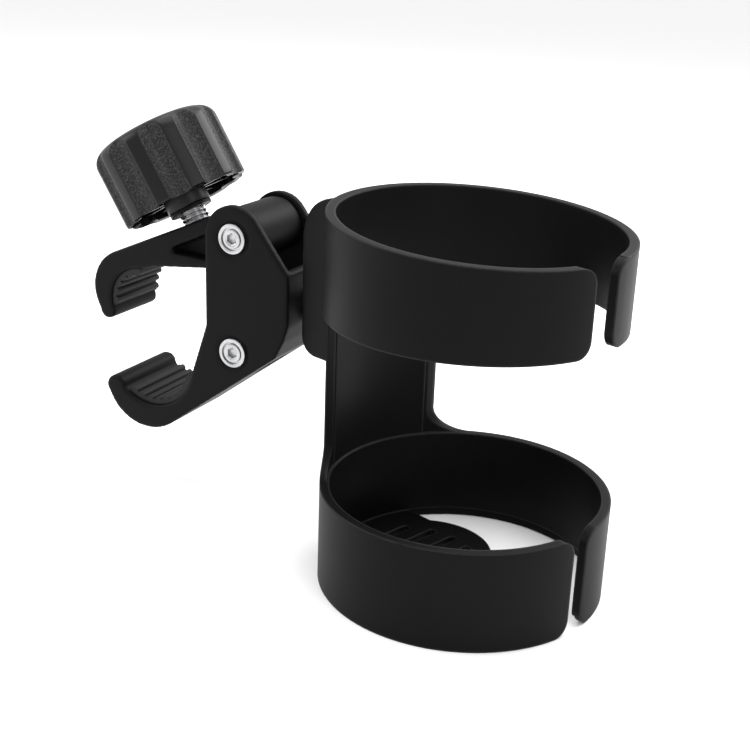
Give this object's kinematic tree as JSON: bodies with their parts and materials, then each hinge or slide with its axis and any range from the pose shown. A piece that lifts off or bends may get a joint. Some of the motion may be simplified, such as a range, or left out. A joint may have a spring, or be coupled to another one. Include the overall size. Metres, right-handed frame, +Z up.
{
  "type": "desk clamp cup holder",
  "caption": "Open-sided cup cage with a slotted base tongue, on a ball joint carried by a screw clamp with ribbed hooked jaws and a fluted knob.",
  "frame": {"origin": "cup axis at the level of the underside of the lower ring and of the base tongue", "axes": "+X from the spine towards the finger slots, +Z up along the cup axis, the clamp stands off towards -X"},
  "size_m": [0.1963, 0.0937, 0.139],
  "materials": {
    "black_plastic": "fine moulded grain, black",
    "grained_plastic": "coarse moulded grain, black",
    "knob_plastic": "semi-gloss black, grained in the scallops",
    "rubber": "matt black",
    "steel": "bright zinc plate",
    "nylon": "smooth, black"
  },
  "bodies": {
    "clamp": {"clamp_body": "black_plastic", "lower_jaw_pad": "rubber", "upper_pivot_sleeve": "steel", "upper_pivot_screw": "steel", "upper_pivot_nut": "steel", "lower_eyelets": "steel"},
    "jaw": {"upper_jaw": "black_plastic", "upper_jaw_pad": "rubber"},
    "nut": {"cross_nut": "steel", "lower_pivot_screws": "steel"},
    "slider": {"thrust_washer": "nylon"},
    "screw": {"clamp_bolt": "steel", "knob": "knob_plastic"},
    "stud": {"ball_stud": "steel", "swivel_washer": "steel", "swivel_nut": "steel"},
    "cup": {"cup_cage": "black_plastic", "mount_block": "grained_plastic", "block_screws": "steel", "pressure_cup": "nylon", "spring_pad": "rubber"}
  },
  "joints": [
    {"name": "knob_turn", "type": "hinge", "parent": "slider", "child": "screw", "pos_m": [-0.08842, -0.01185, 0.06], "axis": [0.5063, 0.1743, -0.8446], "range_deg": [-1080, 1584]},
    {"name": "screw_advance", "type": "slide", "parent": "nut", "child": "slider", "axis": [0.5063, 0.1743, -0.8446], "range_m": [-0.00451, 0.00661]},
    {"name": "nut_pivot", "type": "hinge", "parent": "clamp", "child": "nut", "pos_m": [-0.08842, -0.01185, 0.06], "axis": [0.3256, -0.9455, 0], "range_deg": [-4.1, 5.95]},
    {"name": "jaw_pivot", "type": "hinge", "parent": "clamp", "child": "jaw", "pos_m": [-0.08842, -0.01185, 0.0996], "axis": [0.3256, -0.9455, 0], "range_deg": [-12.2, 17.85]},
    {"name": "clamp_swivel", "type": "hinge", "parent": "clamp", "child": "stud", "pos_m": [-0.054, 0, 0.077], "axis": [0.9455, 0.3256, 0], "continuous": true},
    {"name": "ball_tilt", "type": "hinge", "parent": "stud", "child": "cup", "pos_m": [-0.054, 0, 0.077], "axis": [0, 0, 1], "range_deg": [0, 38]}
  ],
  "couplings": [
    {"joint": "screw_advance", "follows": "knob_turn", "m_per_rad": 0.00023873},
    {"joint": "nut_pivot", "follows": "knob_turn", "ratio": 0.0037125},
    {"joint": "jaw_pivot", "follows": "knob_turn", "ratio": 0.01125}
  ]
}
